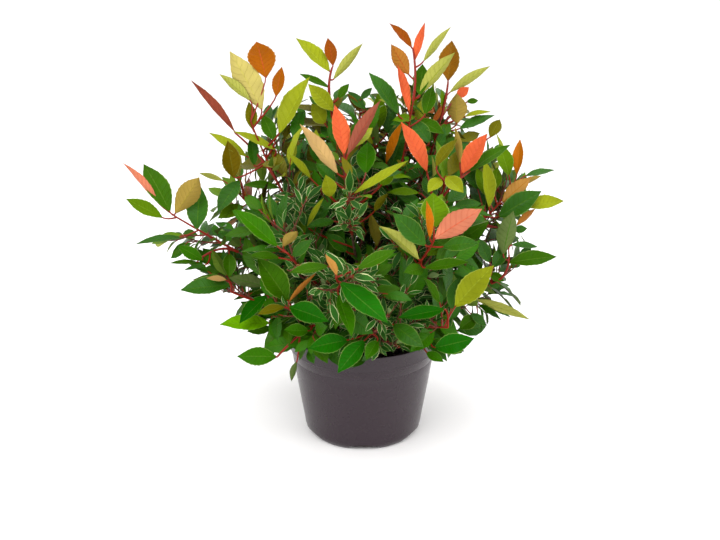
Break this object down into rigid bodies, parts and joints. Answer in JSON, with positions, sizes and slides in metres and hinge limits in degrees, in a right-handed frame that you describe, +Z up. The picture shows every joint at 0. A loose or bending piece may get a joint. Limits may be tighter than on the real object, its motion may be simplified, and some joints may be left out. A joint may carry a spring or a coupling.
{
  "type": "potted red tip photinia",
  "caption": "Bushy evergreen red tip photinia with coral young leaves at its shoot tips, growing in a round dark plastic nursery pot.",
  "frame": {"origin": "centre of the pot's underside, on the surface that the pot stands on", "axes": "+Z up along the pot's axis, the plant's front faces -Y, +X to the right seen from the front"},
  "size_m": [0.5528, 0.5006, 0.5336],
  "materials": {
    "pot_plastic": "dark charcoal moulded plastic with a soft satin gloss",
    "compost": "moist dark peat compost, crumbly and dull",
    "bark": "brown bark with fine ridges, redder on young wood",
    "foliage": "leathery satin leaves, deep green to lime, with coral, orange and bronze young leaves"
  },
  "bodies": {
    "root": {"bough_back": "bark", "bough_back_left": "bark", "bough_back_low_left": "bark", "bough_back_low_right": "bark", "bough_back_right": "bark", "bough_back_top": "bark", "bough_back_upper_left": "bark", "bough_back_upper_right": "bark", "bough_centre": "bark", "bough_centre_right": "bark", "bough_far_left": "bark", "bough_front_left": "bark", "bough_front_low": "bark", "bough_front_low_left": "bark", "bough_front_low_right": "bark", "bough_front_mid": "bark", "bough_front_right": "bark", "bough_left_low": "bark", "bough_right": "bark", "bough_right_low": "bark", "bough_top_left": "bark", "bough_top_right": "bark", "bough_upper_left": "bark", "bough_upper_right": "bark", "compost": "compost", "leaves_back": "foliage", "leaves_back_left": "foliage", "leaves_back_low_left": "foliage", "leaves_back_low_right": "foliage", "leaves_back_right": "foliage", "leaves_back_top": "foliage", "leaves_back_upper_left": "foliage", "leaves_back_upper_right": "foliage", "leaves_centre": "foliage", "leaves_centre_right": "foliage", "leaves_far_left": "foliage", "leaves_front_left": "foliage", "leaves_front_low": "foliage", "leaves_front_low_left": "foliage", "leaves_front_low_right": "foliage", "leaves_front_mid": "foliage", "leaves_front_right": "foliage", "leaves_left_low": "foliage", "leaves_right": "foliage", "leaves_right_low": "foliage", "leaves_top_left": "foliage", "leaves_top_right": "foliage", "leaves_upper_left": "foliage", "leaves_upper_right": "foliage", "pot": "pot_plastic", "trunk": "bark"}
  },
  "joints": []
}
